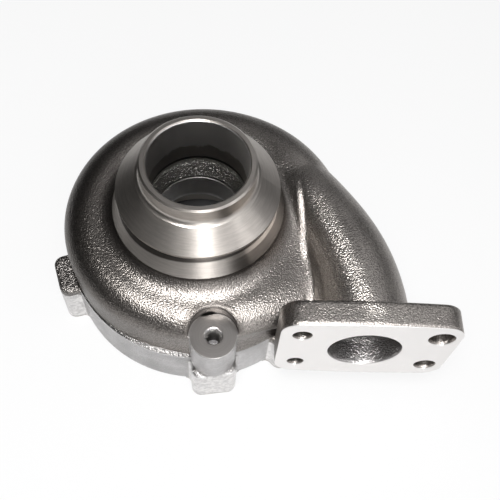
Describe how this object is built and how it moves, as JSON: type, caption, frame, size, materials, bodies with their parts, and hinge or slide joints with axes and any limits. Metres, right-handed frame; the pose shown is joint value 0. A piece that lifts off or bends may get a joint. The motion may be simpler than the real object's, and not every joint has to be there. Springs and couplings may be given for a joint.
{
  "type": "turbocharger turbine housing",
  "caption": "Cast iron turbine housing of a small turbocharger: snail scroll with a square inlet flange, machined outlet neck with a clamp cone, a tapped boss and clamp lugs.",
  "frame": {"origin": "on the turbine axis in the plane of the bearing side face", "axes": "+Z along the turbine axis out of the outlet neck, -Y out of the inlet flange, +X towards the side that carries the flange"},
  "size_m": [0.1755, 0.1366, 0.0882],
  "materials": {
    "cast_iron": "sand-cast skin with turned and milled seats"
  },
  "bodies": {
    "root": {"turbine_housing": "cast_iron"}
  },
  "joints": []
}
